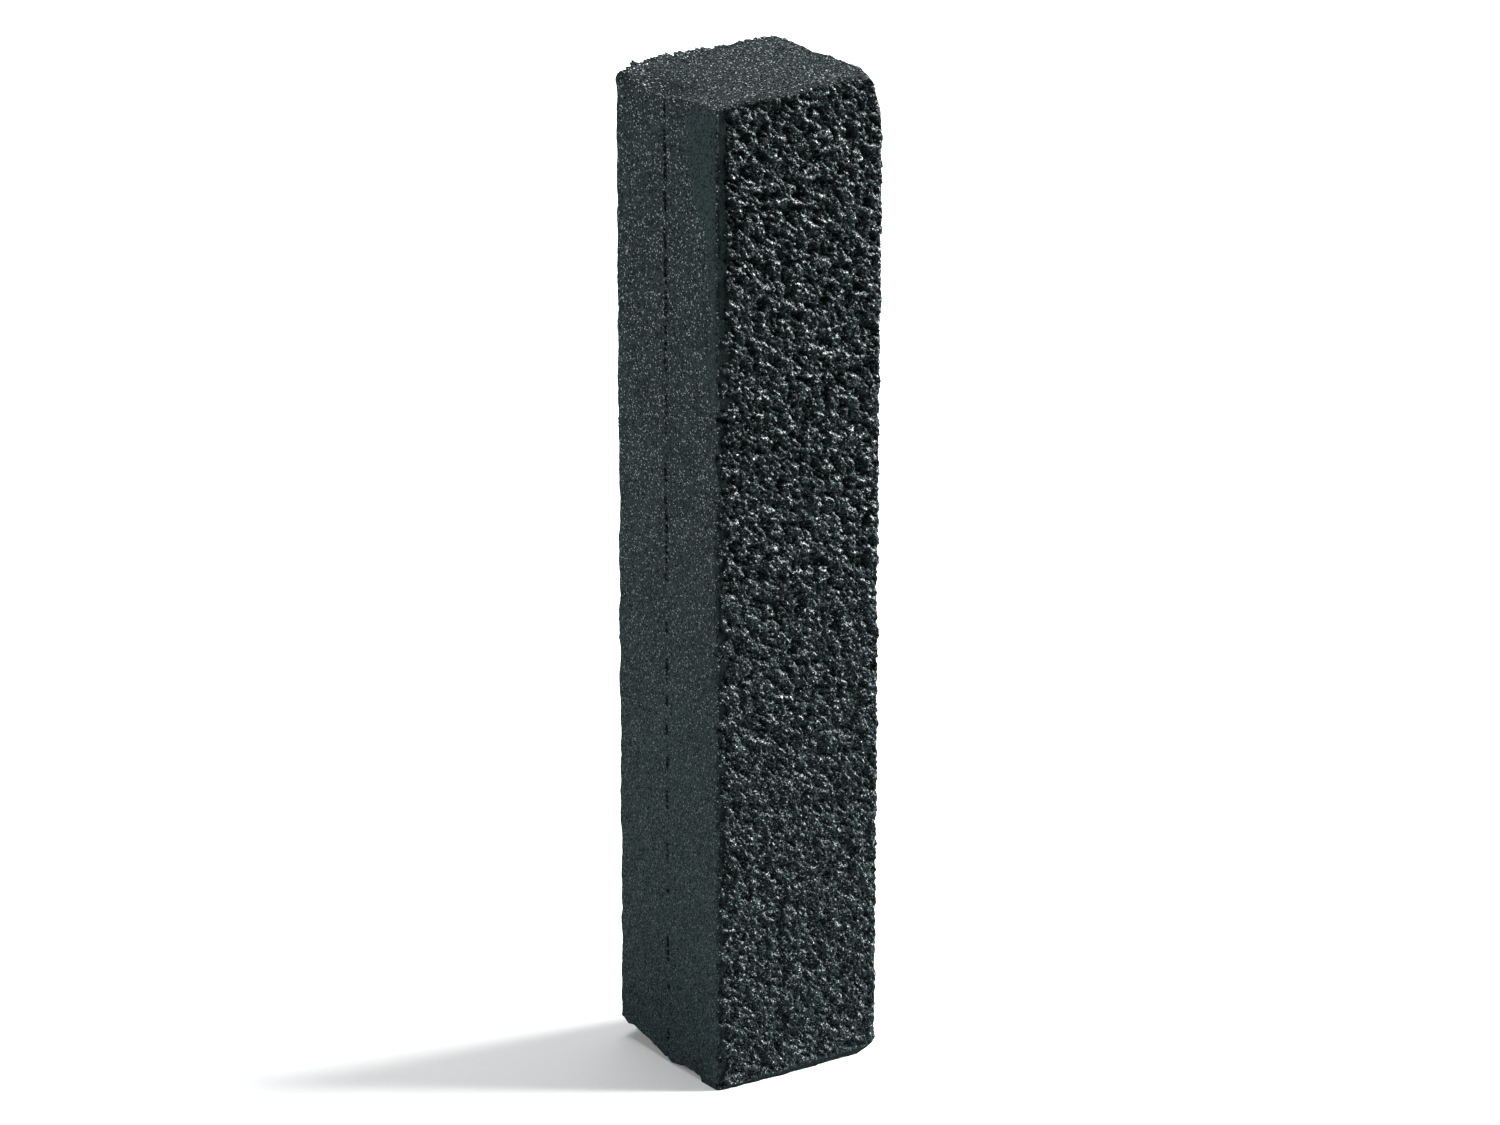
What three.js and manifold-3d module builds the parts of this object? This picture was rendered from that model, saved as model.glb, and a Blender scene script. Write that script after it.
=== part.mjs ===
// A jumbo stick of compressed charcoal, standing on its square end.
//
// The stick is sawn from a plate that was pressed in two layers. A thin film of binder holds the
// layers together, so the stick is two slabs with the bond line between them. Its two broad faces
// are the rough outside of the plate, and its two other sides and both ends are saw cuts.
//
// Frame: +Z runs along the stick, X from sawn side to sawn side, Y from rough face to rough face.
// The origin is the middle of the bottom end.
import * as THREE from "three";
import { mergeVertices } from "three/addons/utils/BufferGeometryUtils.js";
import Module from "manifold-3d";

const wasm = await Module();
wasm.setup();

// Driving dimensions, in millimetres.
const STICK_WIDTH = 14.2; // X, from sawn side to sawn side
const STICK_DEPTH = 13.6; // Y, the thickness of the pressed plate
const STICK_LENGTH = 76.2; // Z, to the highest edge of the top cut
const REAR_SHARE = 0.49; // how much of the depth the rear layer takes up
const BOND_THICKNESS = 0.12; // the film of binder
const BOND_RECESS = 0.5; // how far the film stays back from the sides and ends
const TOP_CUT_RISE = 0.65; // how much higher the top cut is on the +X side
const EDGE_RADIUS = 0.4; // worn vertical edges
const EDGE_STEPS = 4; // facets of each rounded edge

// Wear and chips, each given by how far it runs along an edge or up a side.
const TOP_WEAR = 0.45; // bevel worn along the top of the -X side
const FRONT_RUB_HEIGHT = 0.6; // bevel rubbed along the bottom of the front face
const FRONT_RUB_DEPTH = 0.3;
const REAR_CHIP = { edge: 1.7, seam: 0.65, inward: 3.2 }; // bottom corner of the rear slab, -X side
const SEAM_CHIP = { seam: 0.4, along: 4.2, inward: 1.4 }; // bottom edge of the front slab, -X side
const FRONT_CHIP = { up: 0.95, across: 2.3, inward: 2.0 }; // bottom corner of the front slab, +X side

const LEFT = -STICK_WIDTH / 2;
const RIGHT = STICK_WIDTH / 2;
const FRONT = -STICK_DEPTH / 2;
const REAR = STICK_DEPTH / 2;
const SEAM = REAR - REAR_SHARE * STICK_DEPTH;
const FRONT_SLAB_BACK = SEAM - BOND_THICKNESS / 2;
const REAR_SLAB_FRONT = SEAM + BOND_THICKNESS / 2;
const TOP_LEFT = STICK_LENGTH - TOP_CUT_RISE;
const CUTTER_SIZE = 3 * STICK_LENGTH; // larger than anything it cuts
const STICK_MIDDLE = new THREE.Vector3(0, 0, STICK_LENGTH / 2);

// A closed three.js geometry as a solid that can be cut.
function toSolid(geometry) {
  const bare = geometry.clone();
  bare.deleteAttribute("normal");
  bare.deleteAttribute("uv");
  const merged = mergeVertices(bare, 1e-4);
  return new wasm.Manifold(
    new wasm.Mesh({
      numProp: 3,
      vertProperties: new Float32Array(merged.attributes.position.array),
      triVerts: new Uint32Array(merged.index.array),
    }),
  );
}

// A solid as a three.js geometry with flat shading.
function toGeometry(solid) {
  const mesh = solid.getMesh();
  const geometry = new THREE.BufferGeometry();
  geometry.setAttribute("position", new THREE.BufferAttribute(mesh.vertProperties, 3));
  geometry.setIndex(new THREE.BufferAttribute(mesh.triVerts, 1));
  const faceted = geometry.toNonIndexed();
  faceted.computeVertexNormals();
  return faceted;
}

// A big block that fills the side of the plane through three points that faces away from the
// middle of the stick.
function beyondPlane(a, b, c) {
  const plane = new THREE.Plane().setFromCoplanarPoints(a, b, c);
  if (plane.distanceToPoint(STICK_MIDDLE) > 0) plane.negate();
  const turn = new THREE.Quaternion().setFromUnitVectors(new THREE.Vector3(0, 0, 1), plane.normal);
  const centre = a.clone().addScaledVector(plane.normal, CUTTER_SIZE / 2);
  const block = new THREE.BoxGeometry(CUTTER_SIZE, CUTTER_SIZE, CUTTER_SIZE);
  block.applyMatrix4(new THREE.Matrix4().compose(centre, turn, new THREE.Vector3(1, 1, 1)));
  return toSolid(block);
}

// The upright blank of one slab, seen from above: square at the seam, with worn corners outside.
function slabBlank(seamY, outerY) {
  const outward = Math.sign(outerY - seamY);
  const roundY = outerY - outward * EDGE_RADIUS;
  const plan = new THREE.Shape();
  plan.moveTo(LEFT, seamY);
  plan.lineTo(LEFT, roundY);
  const fromLeft = Math.PI;
  const toOuter = (outward * Math.PI) / 2;
  plan.absarc(LEFT + EDGE_RADIUS, roundY, EDGE_RADIUS, fromLeft, toOuter, outward > 0);
  plan.absarc(RIGHT - EDGE_RADIUS, roundY, EDGE_RADIUS, toOuter, 0, outward > 0);
  plan.lineTo(RIGHT, seamY);
  const options = { depth: STICK_LENGTH, bevelEnabled: false, curveSegments: EDGE_STEPS };
  return toSolid(new THREE.ExtrudeGeometry(plan, options));
}

function point(x, y, z) {
  return new THREE.Vector3(x, y, z);
}

// The cuts that both slabs share: the sloping top end, and the worn top edge of the -X side.
function sharedCuts() {
  return [
    beyondPlane(
      point(LEFT, FRONT, TOP_LEFT),
      point(LEFT, REAR, TOP_LEFT),
      point(RIGHT, REAR, STICK_LENGTH),
    ),
    beyondPlane(
      point(LEFT, FRONT, TOP_LEFT - TOP_WEAR),
      point(LEFT, REAR, TOP_LEFT - TOP_WEAR),
      point(LEFT + TOP_WEAR, REAR, TOP_LEFT),
    ),
  ];
}

function frontSlab() {
  const cuts = [
    ...sharedCuts(),
    beyondPlane(
      point(LEFT, FRONT, FRONT_RUB_HEIGHT),
      point(RIGHT, FRONT, FRONT_RUB_HEIGHT),
      point(RIGHT, FRONT + FRONT_RUB_DEPTH, 0),
    ),
    beyondPlane(
      point(LEFT, SEAM, SEAM_CHIP.seam),
      point(LEFT, SEAM - SEAM_CHIP.along, 0),
      point(LEFT + SEAM_CHIP.inward, SEAM, 0),
    ),
    beyondPlane(
      point(RIGHT, FRONT, FRONT_CHIP.up),
      point(RIGHT - FRONT_CHIP.across, FRONT, 0),
      point(RIGHT, FRONT + FRONT_CHIP.inward, 0),
    ),
  ];
  return cuts.reduce((slab, cut) => slab.subtract(cut), slabBlank(FRONT_SLAB_BACK, FRONT));
}

function rearSlab() {
  const cuts = [
    ...sharedCuts(),
    beyondPlane(
      point(LEFT, REAR, REAR_CHIP.edge),
      point(LEFT, SEAM, REAR_CHIP.seam),
      point(LEFT + REAR_CHIP.inward, REAR, 0),
    ),
  ];
  return cuts.reduce((slab, cut) => slab.subtract(cut), slabBlank(REAR_SLAB_FRONT, REAR));
}

// The film of binder, which stops short of the surface all round and so leaves a hairline groove.
function bondLayer() {
  const height = TOP_LEFT - TOP_WEAR - 2 * BOND_RECESS;
  const film = new THREE.BoxGeometry(STICK_WIDTH - 2 * BOND_RECESS, BOND_THICKNESS, height);
  film.translate(0, SEAM, BOND_RECESS + height / 2);
  return toSolid(film);
}

function pressedCharcoal(name, solid, colour, roughness) {
  const material = new THREE.MeshStandardMaterial({ color: colour, roughness, metalness: 0 });
  const mesh = new THREE.Mesh(toGeometry(solid), material);
  mesh.name = name;
  return mesh;
}

const charcoalStick = new THREE.Group();
charcoalStick.name = "charcoal_stick";
charcoalStick.add(pressedCharcoal("front_slab", frontSlab(), 0x2c3436, 0.8));
charcoalStick.add(pressedCharcoal("rear_slab", rearSlab(), 0x30393b, 0.85));
charcoalStick.add(pressedCharcoal("bond_layer", bondLayer(), 0x141718, 0.95));

export default charcoalStick;
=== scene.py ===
"""The looks of a jumbo stick of compressed charcoal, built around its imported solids.

The stick is sawn from a plate that was pressed in two layers, so it is two slabs with a film of
binder between them. The plate's broad faces are broken and crumbly. The saw left the other sides
and the ends fine-grained. Sizes in the classes are in millimetres, and a mesh is made in metres.
"""

import logging
import math
from dataclasses import dataclass, field
from enum import Enum
from typing import Union

import bpy
import numpy as np
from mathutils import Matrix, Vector


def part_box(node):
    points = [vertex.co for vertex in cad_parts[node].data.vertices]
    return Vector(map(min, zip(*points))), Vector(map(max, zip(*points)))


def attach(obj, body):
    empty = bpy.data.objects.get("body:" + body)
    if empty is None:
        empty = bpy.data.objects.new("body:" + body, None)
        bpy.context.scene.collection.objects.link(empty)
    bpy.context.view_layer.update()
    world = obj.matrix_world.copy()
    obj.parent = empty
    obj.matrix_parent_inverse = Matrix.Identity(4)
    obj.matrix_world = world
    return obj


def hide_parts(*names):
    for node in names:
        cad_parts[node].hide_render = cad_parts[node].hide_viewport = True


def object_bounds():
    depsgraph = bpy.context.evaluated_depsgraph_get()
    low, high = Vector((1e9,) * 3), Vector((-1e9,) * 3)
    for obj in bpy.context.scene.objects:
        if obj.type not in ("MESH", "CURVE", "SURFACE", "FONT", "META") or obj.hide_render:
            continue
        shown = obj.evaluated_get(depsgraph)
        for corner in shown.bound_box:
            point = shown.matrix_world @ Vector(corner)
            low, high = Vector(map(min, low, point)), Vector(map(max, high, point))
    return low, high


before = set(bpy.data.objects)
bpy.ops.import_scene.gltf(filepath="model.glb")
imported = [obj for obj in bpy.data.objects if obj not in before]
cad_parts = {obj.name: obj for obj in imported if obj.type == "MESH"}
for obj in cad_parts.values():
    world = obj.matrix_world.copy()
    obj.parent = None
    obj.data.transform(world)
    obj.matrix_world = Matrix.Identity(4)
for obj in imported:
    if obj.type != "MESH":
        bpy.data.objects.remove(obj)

CAD_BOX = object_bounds()
MM = 0.001
LOG = logging.getLogger("charcoal_stick")

Array = np.ndarray
Socket = bpy.types.NodeSocket
Feed = Union[Socket, float, int, tuple, str, bpy.types.Material]
LOW, HIGH = (np.array(corner) / MM for corner in CAD_BOX)


# ---------------------------------------------------------------- shared tools


class NodeSketch:
    """Adds nodes to one tree and links them, so that a pattern reads as a list of steps."""

    def __init__(self, tree: bpy.types.NodeTree) -> None:
        """Keeps the tree that the nodes go into."""
        self.tree = tree

    def add(self, kind: str, feeds: dict | None = None, **options: object) -> bpy.types.Node:
        """Adds one node and feeds its sockets.

        Args:
            kind: The node's type.
            feeds: Sockets or plain values, by the input's name or number.
            options: The node's own settings.

        Returns:
            The new node.
        """
        node = self.tree.nodes.new(kind)
        for option, value in options.items():
            setattr(node, option, value)
        for key, feed in (feeds or {}).items():
            if isinstance(feed, Socket):
                self.tree.links.new(feed, node.inputs[key])
            else:
                node.inputs[key].default_value = feed
        return node

    def math(self, operation: str, a: Feed, b: Feed = 0.0) -> Socket:
        """Does one sum on two numbers and returns its output."""
        return self.add("ShaderNodeMath", {0: a, 1: b}, operation=operation).outputs[0]

    def times(self, a: Feed, b: Feed) -> Socket:
        """Returns the product of two numbers."""
        return self.math("MULTIPLY", a, b)

    def vector(self, operation: str, a: Feed, b: Feed) -> Socket:
        """Does one sum on two vectors and returns its output."""
        return self.add("ShaderNodeVectorMath", {0: a, 1: b}, operation=operation).outputs[0]

    def scaled(self, vector: Feed, factor: Feed) -> Socket:
        """Returns a vector times a number."""
        feeds = {0: vector, "Scale": factor}
        return self.add("ShaderNodeVectorMath", feeds, operation="SCALE").outputs[0]

    def dot(self, a: Feed, b: Feed) -> Socket:
        """Returns the dot product of two vectors."""
        node = self.add("ShaderNodeVectorMath", {0: a, 1: b}, operation="DOT_PRODUCT")
        return node.outputs["Value"]

    def mapped(self, value: Feed, start: Feed, end: Feed, low: Feed, high: Feed) -> Socket:
        """Returns a number carried smoothly from one range to another, and held at its ends."""
        feeds = {"Value": value, "From Min": start, "From Max": end, "To Min": low, "To Max": high}
        return self.add("ShaderNodeMapRange", feeds, interpolation_type="SMOOTHSTEP").outputs[0]

    def noise(self, place: Feed, scale: Feed, detail: float, roughness: float = 0.5) -> bpy.types.Node:
        """Adds cloudy noise, whose Fac is a number and Color three of them."""
        feeds = {"Vector": place, "Scale": scale, "Detail": detail, "Roughness": roughness}
        return self.add("ShaderNodeTexNoise", feeds)

    def cells(self, place: Feed, scale: Feed) -> bpy.types.Node:
        """Adds cells around scattered points."""
        return self.add("ShaderNodeTexVoronoi", {"Vector": place, "Scale": scale})

    def blend(self, share: Feed, first: Feed, second: Feed) -> Socket:
        """Returns a mix of two colours, each a socket or its red, green and blue."""
        first, second = ((*tint, 1.0) if isinstance(tint, tuple) else tint for tint in (first, second))
        return self.add("ShaderNodeMix", {0: share, 6: first, 7: second}, data_type="RGBA").outputs[2]


def smoothstep(value: Array, start: float, end: float) -> Array:
    """Returns 0 before start, 1 after end and a smooth rise between them."""
    share = np.clip((value - start) / (end - start), 0.0, 1.0)
    return share * share * (3.0 - 2.0 * share)


def fading(value: Array, start: float, end: float) -> Array:
    """Returns 1 before start, 0 after end and a smooth fall between them."""
    return 1.0 - smoothstep(value, start, end)


def graded(low: float, high: float, fine: float, coarse: float, reach: float) -> Array:
    """Spaces points closely near both ends of a line and widely in its middle.

    Args:
        low: Where the line starts.
        high: Where it ends.
        fine: The spacing at both ends.
        coarse: The spacing in the middle.
        reach: How far from an end the spacing takes to grow.

    Returns:
        The places along the line, ends included.
    """
    places = [low]
    while places[-1] < high:
        near_end = max(0.0, min(places[-1] - low, high - places[-1]))
        places.append(places[-1] + fine + (coarse - fine) * min(1.0, near_end / reach))
    line = np.array(places)
    return low + (line - low) * (high - low) / (line[-1] - low)


class Ripple:
    """A gentle random waviness in space, made of a few seeded waves."""

    def __init__(self, seed: int, shortest: float, longest: float, waves: int = 14) -> None:
        """Draws the waves.

        Args:
            seed: Fixes the draw.
            shortest: The shortest wavelength.
            longest: The longest wavelength.
            waves: How many waves are summed.
        """
        draw = np.random.default_rng(seed)
        heading = draw.normal(size=(waves, 3))
        heading /= np.linalg.norm(heading, axis=1, keepdims=True)
        length = shortest * (longest / shortest) ** draw.random(waves)
        self.pitch = heading * (2.0 * math.pi / length)[:, None]
        self.phase = draw.random(waves) * 2.0 * math.pi
        self.gain = np.sqrt(length / longest)
        self.gain /= np.sqrt(0.5 * (self.gain**2).sum())

    def at(self, points: Array) -> Array:
        """Returns the waviness at each point, with a spread of about 1 either way."""
        return np.sin(points @ self.pitch.T + self.phase) @ self.gain


# ---------------------------------------------------------------- finishes


@dataclass(frozen=True)
class PressedCharcoal:
    """Pressed charcoal: a dull slate-black body with small glinting facets of grain.

    It reads three attributes of a slab: hollow, where painted shade darkens it; crest, where a
    painted highlight lies on broken grain; and grainy, how coarse a sawn patch is.
    """

    name: str
    body: tuple = (0.0062, 0.0110, 0.0116)
    # The colour of painted shade: in cavities, under crumbs, in the dips of the fine bump, on shaded bands
    # and on faces darkened against the lamps.
    hollow: tuple = (0.0032, 0.0052, 0.0052)
    polished: tuple = (0.0125, 0.0225, 0.0235)
    fleck: tuple = (0.380, 0.425, 0.430)
    # The colour of the painted highlight on the crumbs' upper flanks.
    painted_glint: tuple = (0.860, 0.900, 0.905)
    fleck_size: float = 0.11
    fleck_share: float = 0.11
    fleck_tilt: float = 1.0
    # How strongly the painted highlight shows on the crests.
    crest_highlight: float = 0.95
    mottle: float = 0.052
    fine_size: float = 0.13
    clump_size: float = 0.9
    bump_depth: float = 0.25
    dull: float = 0.52
    bright: float = 0.32
    specular: float = 0.013

    def material(self) -> bpy.types.Material:
        """Builds the finish as a node material.

        Returns:
            The material.
        """
        material = bpy.data.materials.new(self.name)
        material.use_nodes = True
        sketch = NodeSketch(material.node_tree)
        shader = material.node_tree.nodes["Principled BSDF"]
        link = material.node_tree.links.new
        place = sketch.scaled(sketch.add("ShaderNodeTexCoord").outputs["Object"], 1.0 / MM)
        # hollow carries the painted shade and crest the painted highlight, both stored by the surface tree.
        hollow, crest, grainy = (
            sketch.add("ShaderNodeAttribute", attribute_name=name).outputs["Fac"]
            for name in ("hollow", "crest", "grainy")
        )
        grit = sketch.noise(place, 1.0 / self.fine_size, 2.0, 0.6).outputs["Fac"]
        bits = sketch.cells(place, 1.0 / self.fleck_size)
        fleck = self._fleck(sketch, bits, hollow, grainy)
        lustre = self._lustre(sketch, place, grit, fleck, hollow, crest, grainy)

        link(self._shade(sketch, place, grit, lustre, hollow, crest, grainy), shader.inputs["Base Color"])
        link(sketch.times(lustre, 0.85), shader.inputs["Metallic"])
        matt = sketch.mapped(grit, 0.36, 0.50, 0.95, self.dull)
        polish = sketch.times(sketch.mapped(lustre, 0.0, 0.7, 0.0, 1.0), self.dull - self.bright)
        link(sketch.math("SUBTRACT", matt, polish), shader.inputs["Roughness"])
        link(self._normal(sketch, grit, bits, fleck, grainy), shader.inputs["Normal"])
        shader.inputs["Specular IOR Level"].default_value = self.specular
        return material

    def _fleck(self, sketch: NodeSketch, bits: bpy.types.Node, hollow: Socket, grainy: Socket) -> Socket:
        """Picks scattered bits of grain that lie as small mirrors in the sawn faces.

        Args:
            sketch: Where the nodes go.
            bits: The cells of grain.
            hollow: Where painted shade hides the grain.
            grainy: How coarse the patch is.

        Returns:
            1 on a picked bit and 0 off it.
        """
        toss = sketch.add("ShaderNodeTexWhiteNoise", {"Vector": bits.outputs["Position"]})
        unpicked = 1.0 - self.fleck_share
        fleck = sketch.mapped(toss.outputs["Value"], unpicked, unpicked + 0.02, 0.0, 1.0)
        fleck = sketch.times(fleck, sketch.mapped(bits.outputs["Distance"], 0.35, 0.6, 1.0, 0.0))
        fleck = sketch.times(fleck, sketch.mapped(grainy, 0.2, 1.5, 0.0, 1.0))
        return sketch.times(fleck, sketch.mapped(hollow, 0.52, 0.8, 1.0, 0.0))

    def _lustre(self, sketch: NodeSketch, place: Socket, grit: Socket, fleck: Socket, hollow: Socket,
                crest: Socket, grainy: Socket) -> Socket:
        """Says how metallic and bright the grain is, with the painted highlight on the crests.

        Args:
            sketch: Where the nodes go.
            place: The place in millimetres.
            grit: The finest noise.
            fleck: The picked bits.
            hollow: Where painted shade hides the grain.
            crest: Where the painted highlight goes on broken grain.
            grainy: How coarse the patch is.

        Returns:
            From 0, dull body, to 1, bare grain or painted highlight.
        """
        clump = sketch.noise(place, 1.0 / self.clump_size, 2.0, 0.6).outputs["Fac"]
        # Painted highlight: fine bright metallic specks on the crests, which face the light.
        painted_glint = sketch.mapped(grit, 0.51, 0.59, 0.0, 1.0)
        painted_glint = sketch.times(painted_glint, sketch.mapped(clump, 0.36, 0.56, 0.50, 1.0))
        painted_glint = sketch.times(crest, sketch.times(painted_glint, self.crest_highlight))
        speckle = sketch.noise(place, 1.0 / self.fine_size, 1.0).outputs["Fac"]
        speckle = sketch.times(sketch.mapped(speckle, 0.42, 0.66, 0.0, self.mottle), grainy)
        speckle = sketch.times(speckle, sketch.mapped(hollow, 0.52, 0.8, 1.0, 0.1))
        return sketch.math("MAXIMUM", sketch.math("MAXIMUM", painted_glint, fleck), speckle)

    def _shade(self, sketch: NodeSketch, place: Socket, grit: Socket, lustre: Socket, hollow: Socket,
               crest: Socket, grainy: Socket) -> Socket:
        """Mixes the colour, from painted shade in the hollows to bare grain and painted highlights.

        Args:
            sketch: Where the nodes go.
            place: The place in millimetres.
            grit: The finest noise, whose dips get painted shade as dark pits.
            lustre: How bare the grain is, or how strong the painted highlight.
            hollow: Where painted shade goes.
            crest: Where the painted highlight goes.
            grainy: How coarse the patch is.

        Returns:
            The colour.
        """
        drift = sketch.noise(place, 0.35, 3.0).outputs["Fac"]
        shade = sketch.blend(sketch.mapped(drift, 0.35, 0.65, 0.0, 0.6), self.body, self.polished)
        shade = sketch.blend(sketch.times(grainy, 0.7), self.polished, shade)
        # Painted shade in the dips of the fine bump, as dark pits.
        shade = sketch.blend(sketch.mapped(grit, 0.34, 0.49, 0.9, 0.0), shade, self.hollow)
        # Painted shade from the hollow attribute.
        shade = sketch.blend(hollow, shade, self.hollow)
        # The painted highlight's colour on the crests, and the flecks' colour off them.
        return sketch.blend(lustre, shade, sketch.blend(crest, self.fleck, self.painted_glint))

    def _normal(self, sketch: NodeSketch, grit: Socket, bits: bpy.types.Node, fleck: Socket,
                grainy: Socket) -> Socket:
        """Roughens the surface finely and leans each bit of grain its own way.

        Args:
            sketch: Where the nodes go.
            grit: The finest noise, taken as height.
            bits: The cells of grain.
            fleck: The picked bits, which lean most.
            grainy: How coarse the patch is.

        Returns:
            The normal.
        """
        depth = sketch.times(sketch.math("ADD", grainy, 0.2), self.bump_depth * MM)
        bump = sketch.add("ShaderNodeBump", {"Strength": 1.0, "Distance": depth, "Height": grit})
        lean = sketch.vector("SUBTRACT", bits.outputs["Color"], (0.5, 0.5, 0.5))
        tilt = sketch.math("ADD", sketch.times(fleck, 0.75), 0.25)
        lean = sketch.scaled(lean, sketch.times(tilt, self.fleck_tilt))
        return sketch.vector("NORMALIZE", sketch.vector("ADD", bump.outputs[0], lean), (0, 0, 0))


@dataclass(frozen=True)
class BinderFilm:
    """Dried binder with charcoal dust in it: nearly black and quite dull."""

    name: str = "binder_film"
    body: tuple = (0.006, 0.007, 0.007)
    dusted: tuple = (0.020, 0.024, 0.025)

    def material(self) -> bpy.types.Material:
        """Builds the finish as a node material.

        Returns:
            The material.
        """
        material = bpy.data.materials.new(self.name)
        material.use_nodes = True
        sketch = NodeSketch(material.node_tree)
        shader = material.node_tree.nodes["Principled BSDF"]
        place = sketch.scaled(sketch.add("ShaderNodeTexCoord").outputs["Object"], 1.0 / MM)
        dust = sketch.noise(place, 4.0, 4.0, 0.6).outputs["Fac"]
        shade = sketch.blend(sketch.mapped(dust, 0.4, 0.7, 0.0, 1.0), self.body, self.dusted)
        material.node_tree.links.new(shade, shader.inputs["Base Color"])
        material.node_tree.links.new(sketch.mapped(dust, 0.3, 0.7, 0.95, 0.7), shader.inputs["Roughness"])
        return material


@dataclass(frozen=True)
class PaleBoard:
    """The pale matt board that the stick stands on."""

    name: str = "pale_board"
    colour: tuple = (0.74, 0.75, 0.75)
    fibre: tuple = (0.76, 0.77, 0.77)

    def material(self) -> bpy.types.Material:
        """Builds the finish as a node material.

        Returns:
            The material.
        """
        material = bpy.data.materials.new(self.name)
        material.use_nodes = True
        sketch = NodeSketch(material.node_tree)
        shader = material.node_tree.nodes["Principled BSDF"]
        place = sketch.add("ShaderNodeTexCoord").outputs["Object"]
        shade = sketch.blend(sketch.noise(place, 60.0, 3.0).outputs["Fac"], self.colour, self.fibre)
        material.node_tree.links.new(shade, shader.inputs["Base Color"])
        shader.inputs["Roughness"].default_value = 0.9
        shader.inputs["Specular IOR Level"].default_value = 0.1
        return material


# ---------------------------------------------------------------- the slabs' surface


@dataclass(frozen=True)
class BrokenGrain:
    """How the broad face is broken up, in millimetres."""

    cavity_depth: float = 0.42
    cavity_size: float = 0.85
    crumb_height: float = 0.38
    crumb_size: float = 0.36
    grain_height: float = 0.26
    grain_size: float = 0.18
    rough_height: float = 0.11
    rough_size: float = 0.30
    warp: float = 0.6
    stretch: float = 0.28
    saw_height: float = 0.14


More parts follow.
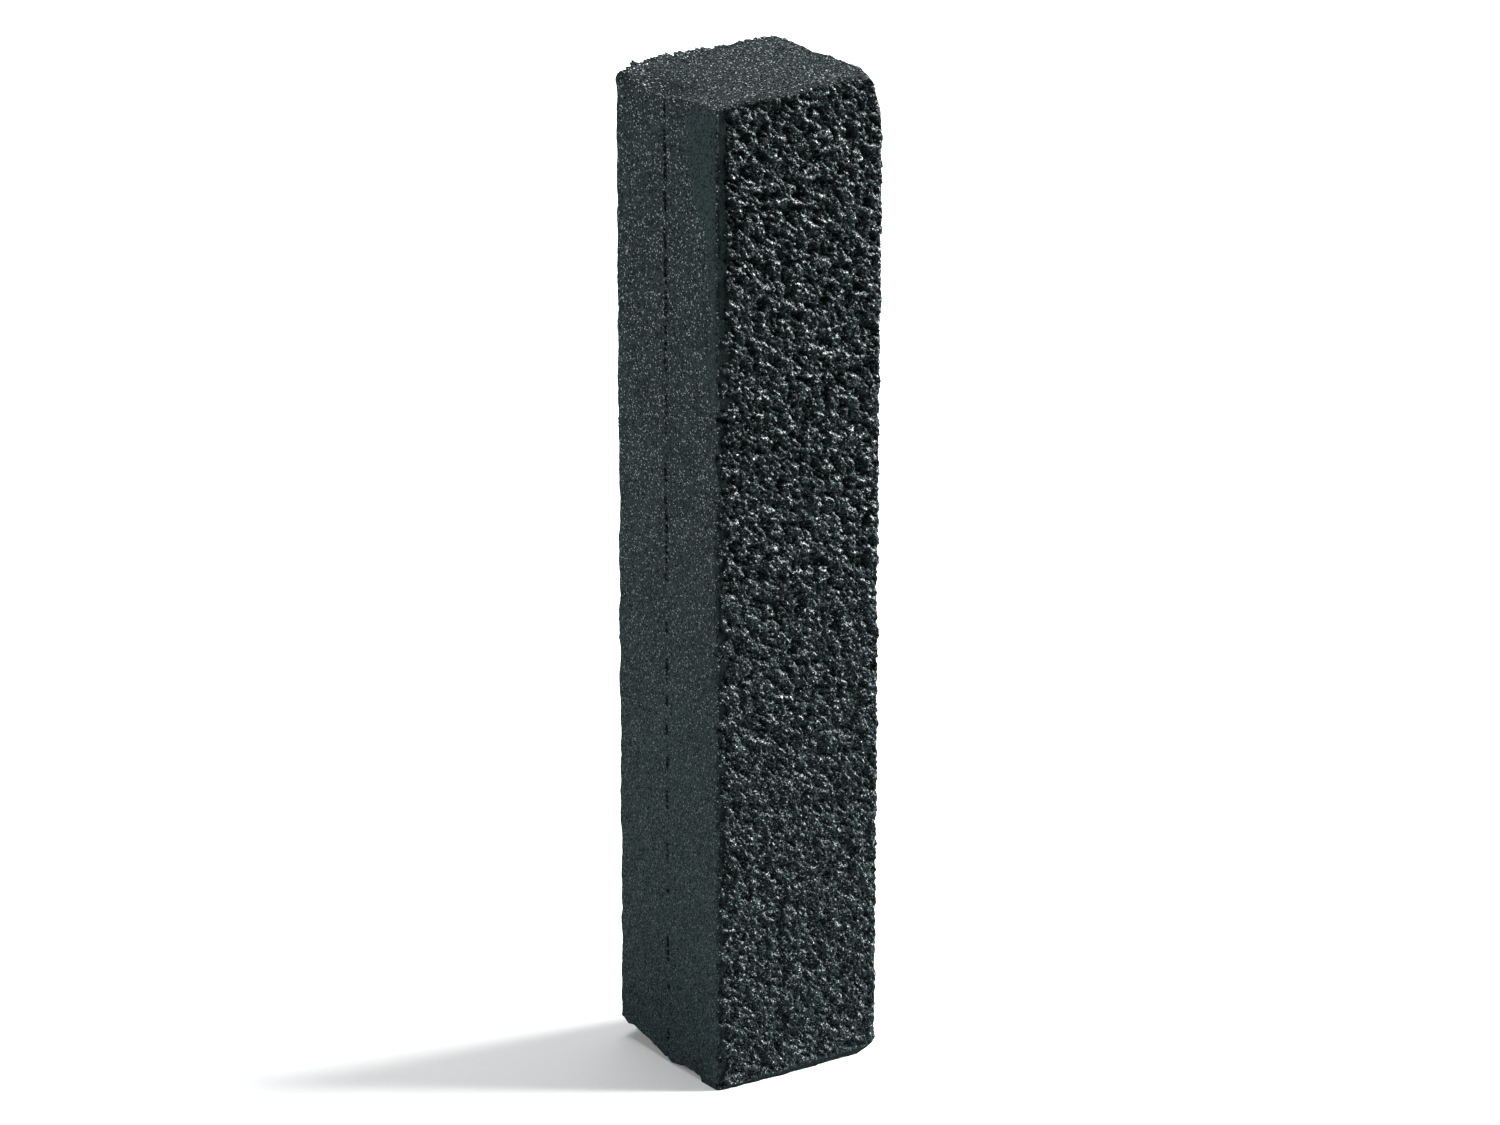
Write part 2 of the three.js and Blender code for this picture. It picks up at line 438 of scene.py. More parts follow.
class SurfaceTree:
    """The geometry node tree that breaks up a slab's surface.

    It reads the blank's attributes and stores two more: hollow, the painted shade, and crest, the painted
    highlight.
    """

    SIZES = {
        "Cavity Depth": "cavity_depth",
        "Cavity Size": "cavity_size",
        "Crumb Height": "crumb_height",
        "Crumb Size": "crumb_size",
        "Grain Height": "grain_height",
        "Grain Size": "grain_size",
        "Rough Height": "rough_height",
        "Rough Size": "rough_size",
        "Warp": "warp",
        "Stretch": "stretch",
        "Saw Height": "saw_height",
    }
    STREAK = (0.707, 0.0, -0.707)
    LIT_FROM = (0.40, 0.0, 0.92)

    def __init__(self) -> None:
        """Builds the tree with a named input for each size."""
        self.tree = bpy.data.node_groups.new("broken_charcoal_surface", "GeometryNodeTree")
        face = self.tree.interface
        face.new_socket("Geometry", in_out="INPUT", socket_type="NodeSocketGeometry")
        for label in (*self.SIZES, "Face Y", "Seed"):
            face.new_socket(label, in_out="INPUT", socket_type="NodeSocketFloat")
        face.new_socket("Finish", in_out="INPUT", socket_type="NodeSocketMaterial")
        face.new_socket("Geometry", in_out="OUTPUT", socket_type="NodeSocketGeometry")
        self.sketch = NodeSketch(self.tree)
        self.given = self.tree.nodes.new("NodeGroupInput").outputs
        self._wire()

    def _named(self, name: str, kind: str = "FLOAT") -> Socket:
        """Reads an attribute of the blank."""
        node = self.sketch.add("GeometryNodeInputNamedAttribute", {"Name": name}, data_type=kind)
        return node.outputs[0]

    def _per(self, size: str) -> Socket:
        """Returns how many of a size fit in a millimetre."""
        return self.sketch.math("DIVIDE", 1.0, self.given[size])

    def _wire(self) -> None:
        """Lays out the nodes from the slab's points to the finished surface."""
        sketch = self.sketch
        place = sketch.scaled(sketch.add("GeometryNodeInputPosition").outputs[0], 1.0 / MM)
        patch = sketch.scaled((17.3, 7.1, 3.7), self.given["Seed"])
        broken = self._broken_height(self._flattened(place, patch))
        saw = sketch.noise(sketch.vector("ADD", place, patch), 4.0, 4.0, 0.6).outputs["Fac"]
        saw = sketch.times(sketch.math("SUBTRACT", saw, 0.5), self.given["Saw Height"])
        offset = sketch.scaled(self._named("broken_push", "FLOAT_VECTOR"), broken)
        offset = sketch.vector("ADD", offset, sketch.scaled(self._named("sawn_push", "FLOAT_VECTOR"), saw))
        feeds = {"Geometry": self.given["Geometry"], "Offset": sketch.scaled(offset, MM)}
        shape = sketch.add("GeometryNodeSetPosition", feeds).outputs[0]
        # How far each facet turns to LIT_FROM, the key lamp's side, which places the painted shade and
        # highlight.
        upper = sketch.dot(sketch.add("GeometryNodeInputNormal").outputs[0], self.LIT_FROM)
        for name, value in (("hollow", self._hollow(broken, upper)), ("crest", self._crest(broken, upper))):
            feeds = {"Geometry": shape, "Name": name, "Value": value}
            stored = sketch.add("GeometryNodeStoreNamedAttribute", feeds, data_type="FLOAT", domain="POINT")
            shape = stored.outputs[0]
        real = sketch.add("GeometryNodeRealizeInstances", {0: shape}).outputs[0]
        feeds = {"Geometry": real, "Material": self.given["Finish"]}
        dressed = sketch.add("GeometryNodeSetMaterial", feeds)
        self.tree.links.new(dressed.outputs[0], self.tree.nodes.new("NodeGroupOutput").inputs[0])

    def _flattened(self, place: Socket, patch: Socket) -> Socket:
        """Lays each point onto the broad face, and draws the pattern out along its streaks.

        Args:
            place: The points, in millimetres.
            patch: How far the slab's patch of the pattern lies from the next.

        Returns:
            Where each point falls in the pattern.
        """
        sketch = self.sketch
        apart = sketch.add("ShaderNodeSeparateXYZ", {0: place}).outputs
        flat = sketch.add("ShaderNodeCombineXYZ", {0: apart[0], 1: self.given["Face Y"], 2: apart[2]})
        flat = sketch.vector("ADD", flat.outputs[0], patch)
        along = sketch.scaled(self.STREAK, sketch.dot(flat, self.STREAK))
        return sketch.vector("SUBTRACT", flat, sketch.scaled(along, self.given["Stretch"]))

    def _broken_height(self, flat: Socket) -> Socket:
        """Sums crumbs, grains, fine ridges and cavities.

        Args:
            flat: Where each point falls in the pattern.

        Returns:
            How far the broken face stands out, in millimetres.
        """
        sketch, given = self.sketch, self.given
        bend = sketch.noise(flat, 1.3, 3.0, 0.6).outputs["Color"]
        bend = sketch.scaled(sketch.vector("SUBTRACT", bend, (0.5, 0.5, 0.5)), given["Warp"])
        bent = sketch.vector("ADD", flat, bend)
        cloud = sketch.noise(bent, self._per("Cavity Size"), 2.0).outputs["Fac"]
        cavity = sketch.mapped(cloud, 0.36, 0.56, 1.0, 0.0)
        crumb = sketch.cells(bent, self._per("Crumb Size")).outputs["Distance"]
        crumb = sketch.mapped(crumb, 0.0, 0.75, 0.0, 1.0)
        grain = sketch.cells(bent, self._per("Grain Size")).outputs["Distance"]
        grain = sketch.mapped(grain, 0.0, 0.8, 1.0, 0.0)
        rough = sketch.noise(flat, self._per("Rough Size"), 2.0, 0.6).outputs["Fac"]
        rough = sketch.times(sketch.math("ABSOLUTE", sketch.math("SUBTRACT", rough, 0.5)), -4.0)
        height = sketch.times(crumb, given["Crumb Height"])
        height = sketch.math("ADD", height, sketch.times(grain, given["Grain Height"]))
        height = sketch.math("ADD", height, sketch.times(rough, given["Rough Height"]))
        height = sketch.math("SUBTRACT", height, sketch.times(cavity, given["Cavity Depth"]))
        return sketch.math("SUBTRACT", height, sketch.times(given["Crumb Height"], 0.7))

    def _hollow(self, height: Socket, upper: Socket) -> Socket:
        """Finds where painted shade darkens the surface.

        Args:
            height: How far the broken face stands out.
            upper: How far the surface turns to the light.

        Returns:
            1 where shade is painted: deep in a cavity, under a crumb or on a shaded band; 0 in the open.
        """
        sketch = self.sketch
        # Painted shade deep in the cavities.
        hollow = sketch.mapped(height, -0.40, -0.12, 1.0, 0.0)
        # Painted shade under the crumbs, on facets that turn down, away from the light.
        hollow = sketch.math("MAXIMUM", hollow, sketch.mapped(upper, -0.6, 0.0, 0.8, 0.0))
        hollow = sketch.times(hollow, self._named("broken"))
        # The painted shade fades lower down, with the painted falloff.
        hollow = sketch.times(hollow, self._named("painted_falloff"))
        # Adds the painted shade of the darkened bands and faces from the blank.
        return sketch.math("MAXIMUM", hollow, self._named("painted_shade"))

    def _crest(self, height: Socket, upper: Socket) -> Socket:
        """Finds where a painted highlight goes: on broken grain that turns to the light.

        Args:
            height: How far the broken face stands out.
            upper: How far the surface turns to the light.

        Returns:
            1 on the upper flank of a crumb and 0 off it.
        """
        sketch = self.sketch
        crest = sketch.mapped(height, -0.26, 0.05, 0.0, 1.0)
        # Only facets turned to LIT_FROM, the key lamp's side, get the painted highlight.
        crest = sketch.times(crest, sketch.mapped(upper, 0.25, 0.68, 0.0, 1.0))
        crest = sketch.times(crest, self._named("broken"))
        # The painted highlight fades lower down, with the painted falloff.
        crest = sketch.times(crest, self._named("painted_falloff"))
        # No painted highlight where shade is painted on the bands and faces.
        return sketch.times(crest, sketch.math("SUBTRACT", 1.0, self._named("painted_shade")))

    def apply_to(self, blank: bpy.types.Object, grain: BrokenGrain, face_y: float, seed: int,
                 finish: bpy.types.Material) -> None:
        """Adds the tree to a blank as a modifier and sets its inputs.

        Args:
            blank: The slab's blank.
            grain: The sizes of its broken surface.
            face_y: Where its broad face lies.
            seed: Which patch of the endless pattern it gets.
            finish: Its material.
        """
        modifier = blank.modifiers.new("surface", "NODES")
        modifier.node_group = self.tree
        values = {label: getattr(grain, size) for label, size in self.SIZES.items()}
        values |= {"Face Y": face_y, "Seed": float(seed), "Finish": finish}
        for socket in self.tree.interface.items_tree:
            if socket.in_out == "INPUT" and socket.name in values:
                modifier[socket.identifier] = values[socket.name]


def settled(shape: bpy.types.Object, name: str) -> bpy.types.Object:
    """Turns an object with modifiers into a plain mesh object.

    Args:
        shape: The object, which is removed.
        name: The new object's name.

    Returns:
        The plain mesh object, at the origin.
    """
    bpy.context.view_layer.update()
    graph = bpy.context.evaluated_depsgraph_get()
    mesh = bpy.data.meshes.new_from_object(shape.evaluated_get(graph), depsgraph=graph)
    mesh.name = name
    bpy.data.objects.remove(shape)
    made = bpy.data.objects.new(name, mesh)
    bpy.context.scene.collection.objects.link(made)
    return made


# ---------------------------------------------------------------- wear, seam and top cut


@dataclass(frozen=True)
class Wear:
    """A flat of wear or a chip: whatever lies beyond its plane is gone.

    Its wobble is a waviness with wavelengths from short to long. It only acts between low and
    high along one axis.
    """

    through: tuple
    facing: tuple
    wobble: float = 0.05
    softness: float = 0.08
    short: float = 0.8
    long: float = 6.0
    axis: int = 0
    low: float = -1e3
    high: float = 1e3

    def direction(self) -> Array:
        """Returns the plane's facing as a unit vector."""
        return np.array(self.facing) / np.linalg.norm(self.facing)

    def beyond(self, points: Array, ripple: Ripple) -> Array:
        """Measures the charcoal that lies beyond the plane.

        Args:
            points: Points of the slab.
            ripple: The plane's waviness.

        Returns:
            How far each point has to come back along the plane's facing.
        """
        over = (points - np.array(self.through)) @ self.direction() + self.wobble * ripple.at(points)
        soft = self.softness
        eased = (over + soft) ** 2 / (4.0 * soft)
        place = points[:, self.axis]
        share = smoothstep(place, self.low - 0.2, self.low + 0.2)
        share *= fading(place, self.high - 0.2, self.high + 0.2)
        return share * np.where(over > soft, over, np.where(over > -soft, eased, 0.0))


@dataclass(frozen=True)
class FrontWear:
    """How the front slab's edges are worn. Each size is how far the wear reaches from its edge."""

    left_arris: float = 0.28
    right_arris: float = 0.12
    foot_left: float = 0.25
    foot_right: float = 0.55
    foot_step: float = 9.0
    right_foot_corner: float = 0.95
    left_foot_corner: float = 0.22
    seam_foot: float = 0.42
    seam_depth: float = 6.9
    seam_foot_start: float = 2.6
    top_left: float = 0.66
    top_right: float = 0.2
    shoulder: float = 0.75
    shoulder_top: float = 1.35

    def flats(self) -> tuple[Wear, ...]:
        """Places the flats and chips on the slab.

        Returns:
            The wear, in the order in which it happens.
        """
        left, front, bottom = LOW
        right, _, top = HIGH
        step = left + self.foot_step
        seam = front + self.seam_depth
        return (
            Wear((left + self.left_arris, front, 0), (-1, -1, 0), 0.09, 0.06, 0.6, 3.0),
            Wear((right - self.right_arris, front, 0), (1, -1, 0), 0.04, 0.05),
            Wear((right - self.right_arris, 0, bottom), (1, 0, -1), 0.04, 0.05),
            Wear((0, front, bottom + self.foot_left), (0, -1, -0.6), 0.04, 0.06, high=step),
            Wear((0, front, bottom + self.foot_right), (0, -1, -0.6), 0.04, 0.06, low=step),
            Wear((right, front, bottom + self.right_foot_corner), (0.55, -0.45, -1.0), 0.05, 0.12),
            Wear((left, seam, bottom + self.seam_foot), (-0.5, 0.02, -1.0), 0.09, 0.1,
                 axis=1, low=front + self.seam_foot_start, high=seam + 1.0),
            Wear((left, front, bottom + self.left_foot_corner), (-0.6, -0.6, -1.0), 0.05, 0.1),
            Wear((left + 0.06, 0, top - self.top_left), (-1, 0, 1), 0.05, 0.06),
            Wear((0, front + 0.1, top - 0.1), (0, -1, 1), 0.08, 0.06, 0.5, 2.5),
            Wear((right - self.top_right, 0, top), (1, 0, 1), 0.08, 0.1, 0.6, 3.0),
            Wear((right - self.shoulder, front, top), (1, -0.35, 0.26), 0.08, 0.4, 0.6, 3.0),
            Wear((right - self.shoulder_top, front, top), (1, -0.45, 1.1), 0.08, 0.3, 0.6, 3.0),
        )


@dataclass(frozen=True)
class RearWear:
    """How the rear slab's edges are worn. Each size is how far the wear reaches from its edge."""

    left_arris: float = 0.25
    right_arris: float = 0.15
    left_foot_corner: float = 1.7
    left_top_corner: float = 1.0
    top_rear: float = 0.25
    top_right: float = 0.2
    right_top_corner: float = 0.7

    def flats(self) -> tuple[Wear, ...]:
        """Places the flats and chips on the slab.

        Returns:
            The wear, in the order in which it happens.
        """
        left, _, bottom = LOW
        right, rear, top = HIGH
        corner = right - self.right_top_corner
        return (
            Wear((left + self.left_arris, rear, 0), (-1, 1, 0), 0.05, 0.06),
            Wear((right - self.right_arris, rear, 0), (1, 1, 0), 0.05, 0.06),
            Wear((left, rear, bottom + self.left_foot_corner), (-0.55, 0.2, -1.0), 0.10, 0.12),
            Wear((left, rear, top - self.left_top_corner), (-1, 0.7, 1.8), 0.04, 0.3),
            Wear((0, rear - self.top_rear, top), (0, 1, 1), 0.07, 0.1, 0.5, 3.0),
            Wear((right - self.top_right, 0, top), (1, 0, 1), 0.08, 0.1, 0.6, 3.0),
            Wear((corner, rear - 0.4, top), (1, 1, 0.5), 0.15, 0.3, 0.6, 3.0),
        )


@dataclass(frozen=True)
class SeamVoids:
    """Where the seam between the slabs shows: a broken line of voids, most of them higher up."""

    closing: float = 0.056
    opening: float = 0.14
    wander: float = 0.035
    busy_from: float = 43.0
    busy_to: float = 73.0
    quiet_at: float = 37.5
    seed: int = 51

    def _line(self, across: Array, up: Array) -> Array:
        """Returns places along the seam, in which the stick's two sides lie far apart."""
        return np.stack([np.where(across > 0.0, 40.0, 0.0), 0.0 * up, up], axis=1)

    def stray(self, across: Array, up: Array) -> Array:
        """Returns how far the seam's line strays along Y."""
        return self.wander * Ripple(self.seed + 2, 0.8, 4.0).at(self._line(across, up))

    def lip_travel(self, across: Array, up: Array) -> Array:
        """Opens and closes the seam along its length.

        Args:
            across: Places along X.
            up: Places along Z.

        Returns:
            How far a lip moves toward the other slab: less than 0 beside a void.
        """
        line = self._line(across, up)
        beat = 0.9 * Ripple(self.seed, 0.7, 3.5).at(line) + 1.2 * Ripple(self.seed + 1, 0.3, 0.7).at(line)
        lean = -0.75 + 1.35 * smoothstep(up, self.busy_from - 4.0, self.busy_from)
        lean -= 2.0 * smoothstep(up, self.busy_to, self.busy_to + 1.0)
        lean -= 1.5 * np.exp(-(((up - self.quiet_at) / 1.5) ** 2))
        void = smoothstep(beat + lean, 0.0, 0.7)
        return self.closing * (1.0 - void) - self.opening * void


@dataclass(frozen=True)
class SlopingCut:
    """The top end's saw cut: a little out of square, worn hollow by the -X side, rimmed at the rear."""

    front_left: float = -0.69
    rear_left: float = -0.50
    front_right: float = -0.08
    rear_right: float = 0.0
    dip: float = 0.70
    dip_y: float = 1.2
    rim: float = 0.30

    def drop(self, points: Array) -> Array:
        """Measures the cut against the top of the stick's box.

        Args:
            points: Points of a slab.

        Returns:
            How far the cut lies above the box's top, which is mostly below 0.
        """
        across, along, _ = ((points - LOW) / (HIGH - LOW)).T
        at_front = self.front_left + (self.front_right - self.front_left) * across
        at_rear = self.rear_left + (self.rear_right - self.rear_left) * across
        plane = at_front + (at_rear - at_front) * along
        hollow = np.exp(-((points[:, 1] - self.dip_y) / 3.0) ** 2 - ((points[:, 0] - LOW[0]) / 1.8) ** 2)
        rim = smoothstep(along, 0.90, 1.0) * fading(across, 0.88, 1.0)
        return plane - self.dip * hollow + self.rim * rim


# ---------------------------------------------------------------- the slabs


class Outward(Enum):
    """Which way a slab's broad face looks."""

    FRONT = -1.0
    REAR = 1.0


@dataclass
class Slab:
    """One pressed layer: a closed block with worn edges, one broken face and sawn sides."""

    node: str
    slot: str
    outward: Outward
    finish: PressedCharcoal
    seed: int
    wear: Union[FrontWear, RearWear]
    grain: BrokenGrain = field(default_factory=BrokenGrain)
    seam: SeamVoids = field(default_factory=SeamVoids)
    top_cut: SlopingCut = field(default_factory=SlopingCut)
    step: float = 0.09
    seam_step: float = 0.05
    side_step: float = 0.13
    triangles: int = 190_000
    arris_band: float = 0.4
    arris_recess: float = 0.0
    band_wander: float = 0.0
    rubbed_band: float = 0.0
    rub_left: float = 0.2
    rub_right: float = 0.2
    # How dark the painted shade is in the band beside the -X arris and along the rubbed foot.
    edge_shade: float = 0.3
    # How dark the painted shade is on the +X side, where the key lamp falls.
    lamp_side_shade: float = 0.6
    left_swell: float = 0.0
    right_swell: float = 0.0
    burr: float = 0.0

    def __post_init__(self) -> None:
        """Reads the slab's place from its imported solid."""
        low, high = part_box(self.node)
        self.low, self.high = np.array(low) / MM, np.array(high) / MM
        front = self.outward is Outward.FRONT
        self.face_y = self.low[1] if front else self.high[1]
        self.seam_y = self.high[1] if front else self.low[1]

    def build(self, surface: SurfaceTree) -> bpy.types.Object:
        """Makes the finished slab.

        Args:
            surface: The tree that breaks up its surface.

        Returns:
            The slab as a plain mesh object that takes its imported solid's place.
        """
        points, quads = self._lattice()
        blank = self._blank(self._shaped(points), quads, self._masks(points))
        surface.apply_to(blank, self.grain, self.face_y, self.seed, self.finish.material())
        thinner = blank.modifiers.new("thinner", "DECIMATE")
        thinner.ratio = min(1.0, self.triangles / (2.0 * len(quads)))
        slab = settled(blank, self.node + "_body")
        slab.data.polygons.foreach_set("use_smooth", np.zeros(len(slab.data.polygons), bool))
        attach(slab, "root")
        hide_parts(self.node)
        LOG.info("%s: %d faces", slab.name, len(slab.data.polygons))
        return slab

    def _lattice(self) -> tuple[Array, Array]:
        """Divides the slab's box finely all over.

        Returns:
            The points of the closed box and its outward quads.
        """
        fine = self.step * 0.8
        xs = graded(self.low[0], self.high[0], fine, self.step, 1.0)
        ys = graded(self.low[1], self.high[1], self.seam_step, self.side_step, 1.2)
        zs = graded(self.low[2], self.high[2], fine, self.step, 1.0)
        counts = (len(xs), len(ys), len(zs))
        sides = [(axis, end) for axis in range(3) for end in (0, -1)]
        shell = np.zeros(counts, dtype=bool)
        for axis, end in sides:
            shell[(slice(None),) * axis + (end,)] = True
        index = np.full(counts, -1, dtype=np.int64)
        index[shell] = np.arange(shell.sum())
        where = np.argwhere(shell)
        points = np.stack([xs[where[:, 0]], ys[where[:, 1]], zs[where[:, 2]]], axis=1)
        quads = []
        for axis, end in sides:
            sheet = index[(slice(None),) * axis + (end,)]
            a, b, c, d = sheet[:-1, :-1], sheet[1:, :-1], sheet[1:, 1:], sheet[:-1, 1:]
            turned = (axis == 1) if end else (axis != 1)
            order = (a, d, c, b) if turned else (a, b, c, d)
            quads.append(np.stack([part.ravel() for part in order], axis=1))
        return points, np.concatenate(quads)

    def _blank(self, points: Array, quads: Array, masks: dict[str, Array]) -> bpy.types.Object:
        """Makes a mesh object that carries the masks.

        Args:
            points: Its points, in millimetres.
            quads: Its faces.
            masks: A number or a vector for each point, by name.

        Returns:
            The blank.
        """
        mesh = bpy.data.meshes.new(self.node + "_blank")
        mesh.vertices.add(len(points))
        mesh.vertices.foreach_set("co", (points * MM).astype(np.float32).ravel())
        mesh.loops.add(quads.size)
        mesh.loops.foreach_set("vertex_index", quads.ravel().astype(np.int32))
        mesh.polygons.add(len(quads))
        mesh.polygons.foreach_set("loop_start", np.arange(0, quads.size, 4, dtype=np.int32))
        mesh.update(calc_edges=True)
        for name, values in masks.items():
            kind, key = ("FLOAT_VECTOR", "vector") if values.ndim == 2 else ("FLOAT", "value")
            attribute = mesh.attributes.new(name, kind, "POINT")
            attribute.data.foreach_set(key, values.astype(np.float32).ravel())
        blank = bpy.data.objects.new(mesh.name, mesh)
        bpy.context.scene.collection.objects.link(blank)
        return blank

    def _from_arris(self, points: Array) -> Array:
        """Measures across the broad face from the -X arris, in widths of its worn band.

        Args:
            points: Points of the blank.

        Returns:
            Below 1 in the band and above 1 past it. The band narrows and turns ragged lower down.
        """
        height = points[:, 2] / self.high[2]
        band = self.arris_band * (0.4 + 0.6 * smoothstep(height, 0.66, 0.80))
        ragged = self.band_wander * (1.0 - 0.8 * smoothstep(height, 0.72, 0.86))
        stray = ragged * Ripple(self.seed + 40, 0.7, 3.0).at(points)
        return (points[:, 0] - self.low[0] + stray) / band

    def _masks(self, points: Array) -> dict[str, Array]:
        """Says which way, and how strongly, each kind of surface may move each point.

        Args:
            points: Points of the blank.

        Returns:
            Pushes for the broken and sawn surfaces, how broken and grainy each point is, how much painted
            shade it gets, and the painted falloff that weakens painted highlight and shade lower down.
        """
        inward = np.abs(points[:, 1] - self.face_y)
        from_seam = np.abs(points[:, 1] - self.seam_y)
        left, right = points[:, 0] - self.low[0], self.high[0] - points[:, 0]
        bottom, top = points[:, 2] - self.low[2], self.high[2] - points[:, 2]
        height = points[:, 2] / self.high[2]
        from_arris = self._from_arris(points)
        rub = self.rub_left + (self.rub_right - self.rub_left) * left / (left + right)

        share = fading(inward, 0.0, 1.3)
        share *= 0.1 + 0.9 * smoothstep(from_arris, 0.75, 1.3)
        share *= 0.6 + 0.4 * smoothstep(right, 0.0, 0.8)
        share *= 0.05 + 0.95 * smoothstep(bottom, 0.8 * rub, 1.4 * rub)
        share *= 0.75 + 0.25 * smoothstep(height, 0.0, 0.7)
        broken_push = np.zeros_like(points)
        broken_push[:, 1] = self.outward.value * share
        broken_push[:, 2] = 0.35 * fading(inward, 0.0, 0.7) * fading(top, 0.0, 0.5)
        sawn_push = np.zeros_like(points)
        for axis, sign, distance in ((0, -1.0, left), (0, 1.0, right), (2, -1.0, bottom), (2, 1.0, top)):
            sawn_push[:, axis] += sign * fading(distance, 0.0, 0.4) * smoothstep(from_seam, 0.0, 0.15)

        broken = fading(inward, 0.0, 0.25)
        end_grain = fading(top, 0.0, 0.3)
        # The worn band beside the -X arris and the rubbed band at the foot are less grainy, and get painted
        # shade: both turn away from the key lamp, and the arris band lies in shadow.
        worn = np.maximum(fading(from_arris, 1.0, 1.25), fading(bottom, 0.8 * rub, 1.1 * rub))
        worn *= self.edge_shade * broken * smoothstep(left, 0.0, 0.15)
        # Painted shade that darkens the +X side, where the key lamp falls.
        lamp_side_darkened = self.lamp_side_shade * fading(right, 0.0, 0.4) * (1.0 - broken)
        grainy = (0.55 + 0.45 * smoothstep(height, 0.15, 0.8)) * (1.0 - 0.75 * self._rubbed(points, broken))
        grainy = np.maximum(grainy, broken * (1.0 - 0.8 * worn)) + 0.6 * end_grain
        return {
            "broken_push": broken_push,
            "sawn_push": sawn_push * grainy[:, None],
            "broken": broken,
            "grainy": grainy,
            # Painted shade: the worn bands, the top end, which the lamps light strongly, and the +X side.
            "painted_shade": np.maximum.reduce([0.85 * worn, 0.52 * end_grain, lamp_side_darkened]),
            # Painted falloff: painted highlight and shade grow toward the top, as if lit from above.
            "painted_falloff": 0.60 + 0.40 * smoothstep(height, 0.1, 0.9),
        }

    def _rubbed(self, points: Array, broken: Array) -> Array:
        """Finds the band on the -X side that handling has rubbed smooth beside the arris.

        Args:
            points: Points of the blank.
            broken: How broken each point is.

        Returns:
            1 in the middle of the band and 0 off it.
        """
        inward = np.abs(points[:, 1] - self.face_y)
        height = points[:, 2] / self.high[2]
        width = 0.8 + 2.6 * smoothstep(height, 0.84, 0.93)
        width += 0.25 * Ripple(self.seed + 41, 1.0, 5.0).at(points)
        rubbed = self.rubbed_band * fading(inward - width, 0.0, 0.7) * smoothstep(height, 0.58, 0.80)
        return rubbed * fading(points[:, 0] - self.low[0], 0.0, 0.5) * (1.0 - broken)

    def _shaped(self, points: Array) -> Array:
        """Slopes the top cut, closes the seam's lips, swells the corners and wears the edges.

        Args:
            points: Points of the blank.

        Returns:
            Where they end up.
        """
        shaped = points.copy()
        inward = np.abs(points[:, 1] - self.face_y)
        left, right = points[:, 0] - self.low[0], self.high[0] - points[:, 0]
        down = self.high[2] - points[:, 2]
        shaped[:, 2] += fading(down, 0.0, 9.0) * self.top_cut.drop(points)
        shaped[:, 1] += self._lips(points)
        recess = fading(self._from_arris(points), 0.9, 1.4) * fading(inward, 0.0, 1.0)
        shaped[:, 1] -= self.outward.value * self.arris_recess * recess
        corner = np.exp(-((left / 1.5) ** 2) - (inward / 1.5) ** 2 - ((down - 0.8) / 0.7) ** 2)
        shaped[:, 0] -= self.left_swell * corner
        full = 0.5 * smoothstep(points[:, 2], 38.0, 43.0) + 0.5 * smoothstep(points[:, 2], 54.0, 58.0)
        shaped[:, 0] += self.right_swell * full * fading(right, 0.0, 3.0) * fading(inward, 1.0, 5.0)
        for number, wear in enumerate(self.wear.flats()):
            back = wear.beyond(shaped, Ripple(self.seed * 100 + number, wear.short, wear.long))
            shaped -= back[:, None] * wear.direction()
        rim = fading(left, 0.0, 0.16) * fading(down, 0.0, 0.16)
        rim *= np.clip(0.6 + 0.4 * Ripple(self.seed, 0.6, 2.5).at(points), 0.0, 1.2)
        shaped[:, 2] += self.burr * rim
        shaped[:, 0] -= 0.5 * self.burr * rim
        return shaped

    def _lips(self, points: Array) -> Array:
        """Closes the seam's lips, but for its open voids.

        Args:
            points: Points of the blank.

        Returns:
            How far each point moves along Y.
        """
        x, _, z = points.T
        edge = np.minimum.reduce([x - self.low[0], self.high[0] - x, z - self.low[2], self.high[2] - z])
        near = fading(edge, 0.15, 0.45) * fading(np.abs(points[:, 1] - self.seam_y), 0.0, 0.35)
        return near * (self.seam.stray(x, z) - self.outward.value * self.seam.lip_travel(x, z))


@dataclass
class BondLayer:
    """The film of binder between the slabs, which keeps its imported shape."""

    node: str = "bond_layer"
    finish: BinderFilm = field(default_factory=BinderFilm)

    def build(self) -> bpy.types.Object:
        """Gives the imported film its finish.

        Returns:
            The film.
        """
        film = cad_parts[self.node]
        film.data.materials.clear()
        film.data.materials.append(self.finish.material())
        LOG.info("%s: packed solid with the binder finish", film.name)
        return film


# ---------------------------------------------------------------- the studio


def backward(turn: float, rise: float) -> Vector:
    """Returns the direction from the stick to something at a turn and rise round it, in degrees."""
    a, e = math.radians(turn), math.radians(rise)
    return Vector((math.sin(a) * math.cos(e), -math.cos(a) * math.cos(e), math.sin(e)))


@dataclass(frozen=True)
class SoftLamp:
    """A square soft lamp that faces the stick."""

    name: str
    turn: float
    rise: float
    size: float
    watts: float
    away: float = 0.9

    def hang(self, middle: Vector) -> None:
        """Hangs the lamp.

        Args:
            middle: The point that it faces.
        """
        data = bpy.data.lights.new(self.name, "AREA")
        data.shape = "SQUARE"
        data.size = self.size
        data.energy = self.watts
        lamp = bpy.data.objects.new(self.name, data)
        back = backward(self.turn, self.rise)
        lamp.location = middle + back * self.away
        lamp.rotation_mode = "QUATERNION"
        lamp.rotation_quaternion = back.to_track_quat("Z", "Y")
        bpy.context.scene.collection.objects.link(lamp)


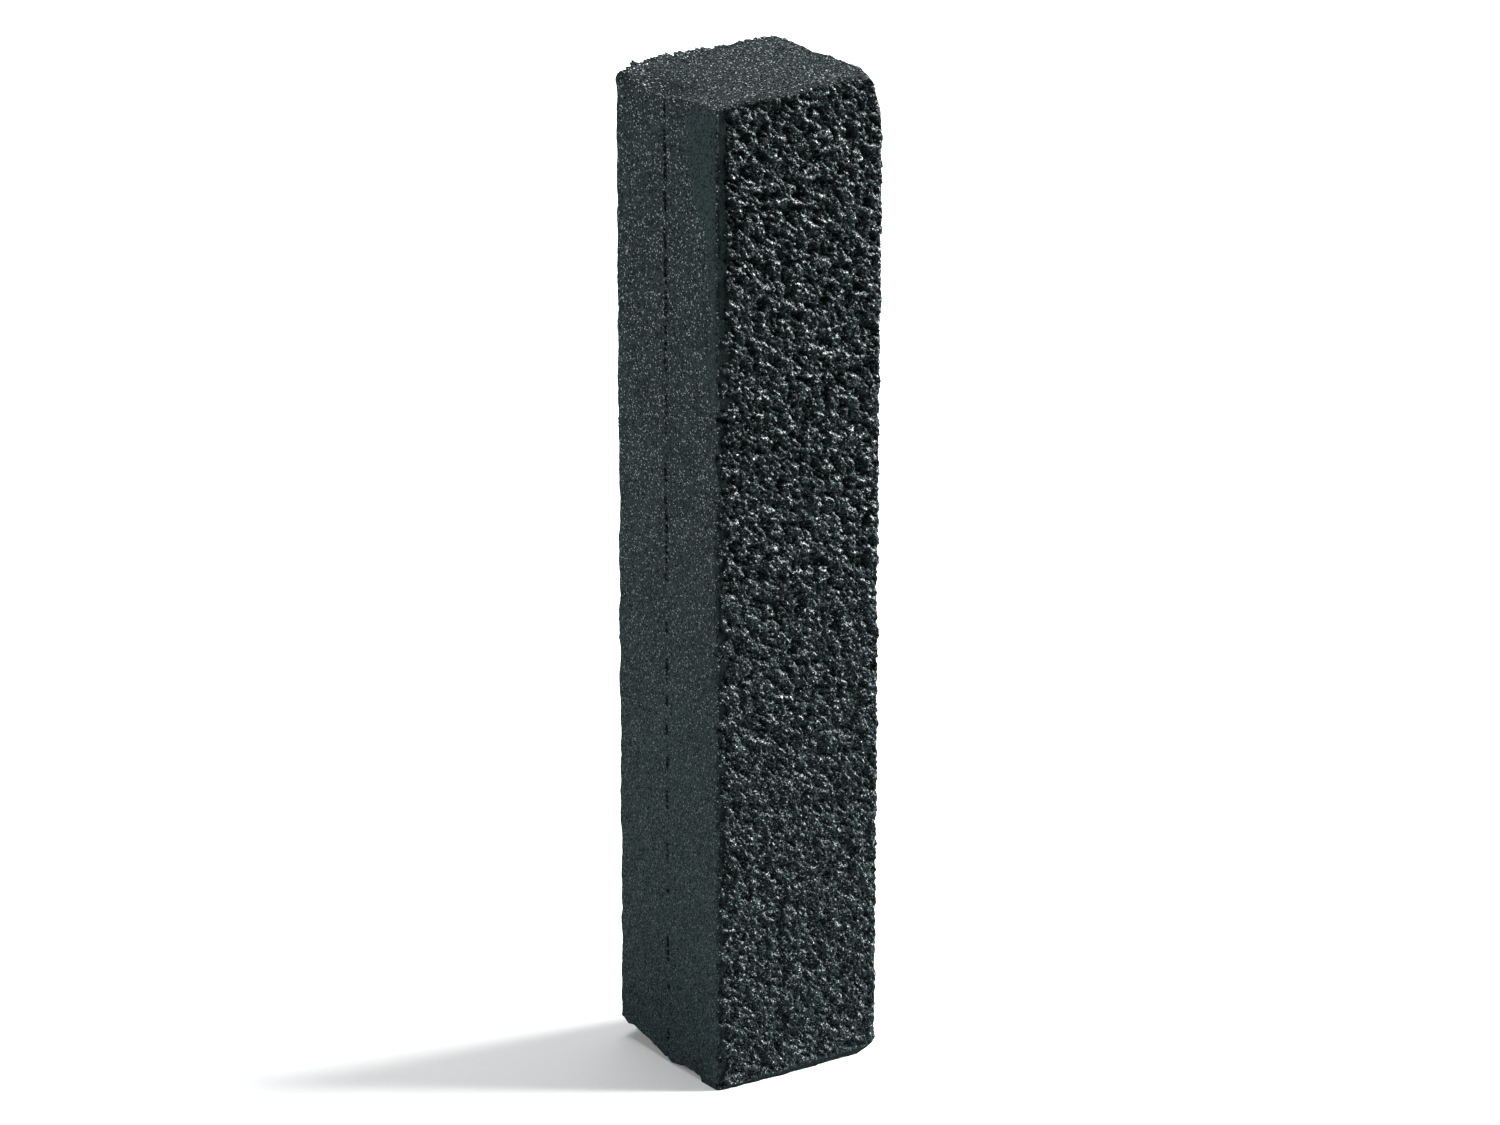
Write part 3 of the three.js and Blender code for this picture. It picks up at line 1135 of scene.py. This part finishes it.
@dataclass
class Studio:
    """A pale board, soft lamps and the camera. Its sizes are in metres and degrees."""

    turn: float = -33.8
    rise: float = 18.9
    distance: float = 0.518
    lens: float = 168.0
    aim_side: float = 0.0002
    aim_share: float = 0.5036
    board_half: float = 0.75
    board: PaleBoard = field(default_factory=PaleBoard)
    key: SoftLamp = SoftLamp("key_lamp", 68.0, 29.0, 0.45, 52.0)
    side: SoftLamp = SoftLamp("side_lamp", -112.0, 24.0, 0.35, 5.0)
    top: SoftLamp = SoftLamp("top_lamp", 170.0, 78.0, 0.6, 5.0)

    def build(self) -> None:
        """Sets up the board, the sky, the lamps and the camera."""
        low, high = CAD_BOX
        middle = Vector((self.aim_side, 0.0, low.z + (high.z - low.z) * self.aim_share))
        self._lay_board()
        self._light_room()
        for lamp in (self.key, self.side, self.top):
            lamp.hang(middle)
        self._place_camera(middle)
        bpy.context.scene.view_settings.view_transform = "Standard"

    def _lay_board(self) -> None:
        """Lays the board under the stick."""
        half = self.board_half
        mesh = bpy.data.meshes.new("board")
        corners = [(-half, -half, 0), (half, -half, 0), (half, half, 0), (-half, half, 0)]
        mesh.from_pydata(corners, [], [(0, 1, 2, 3)])
        board = bpy.data.objects.new("board", mesh)
        mesh.materials.append(self.board.material())
        bpy.context.scene.collection.objects.link(board)

    def _light_room(self) -> None:
        """Lights the room from all round, less from above than from the sides."""
        world = bpy.data.worlds.new("room")
        world.use_nodes = True
        sketch = NodeSketch(world.node_tree)
        shade = world.node_tree.nodes["Background"]
        heading = sketch.add("ShaderNodeTexCoord").outputs["Generated"]
        aloft = sketch.add("ShaderNodeSeparateXYZ", {0: heading}).outputs[2]
        world.node_tree.links.new(sketch.mapped(aloft, 0.04, 0.16, 1.0, 0.16), shade.inputs["Strength"])
        shade.inputs["Color"].default_value = (0.93, 0.97, 1.0, 1.0)
        bpy.context.scene.world = world

    def _place_camera(self, middle: Vector) -> None:
        """Places the camera.

        Args:
            middle: The point that it looks at.
        """
        data = bpy.data.cameras.new("camera")
        data.lens = self.lens
        data.sensor_width = 36.0
        data.clip_start, data.clip_end = 0.02, 20.0
        camera = bpy.data.objects.new("camera", data)
        back = backward(self.turn, self.rise)
        camera.location = middle + back * self.distance
        camera.rotation_mode = "QUATERNION"
        camera.rotation_quaternion = (-back).to_track_quat("-Z", "Y")
        bpy.context.scene.collection.objects.link(camera)
        bpy.context.scene.camera = camera


# ---------------------------------------------------------------- the stick


def front_slab() -> Slab:
    """Describes the front slab.

    Returns:
        The slab, whose broad face is the coarse one that meets the light.
    """
    return Slab(
        node="front_slab",
        slot="pressed_charcoal_front",
        outward=Outward.FRONT,
        finish=PressedCharcoal("front_charcoal"),
        seed=3,
        wear=FrontWear(),
        arris_band=0.8,
        arris_recess=0.16,
        band_wander=0.36,
        rubbed_band=0.85,
        rub_left=0.3,
        rub_right=0.75,
        edge_shade=1.0,
        right_swell=0.4,
    )


def rear_slab() -> Slab:
    """Describes the rear slab.

    Returns:
        The slab, whose -X top corner bulges and carries a burr.
    """
    return Slab(
        node="rear_slab",
        slot="pressed_charcoal_rear",
        outward=Outward.REAR,
        finish=PressedCharcoal("rear_charcoal"),
        seed=8,
        wear=RearWear(),
        left_swell=0.24,
        burr=0.09,
    )


def main() -> None:
    """Builds the studio and the stick."""
    logging.basicConfig(level=logging.INFO, format="%(name)s: %(message)s")
    Studio().build()
    surface = SurfaceTree()
    front_slab().build(surface)
    rear_slab().build(surface)
    BondLayer().build()


if __name__ == "__main__":
    main()
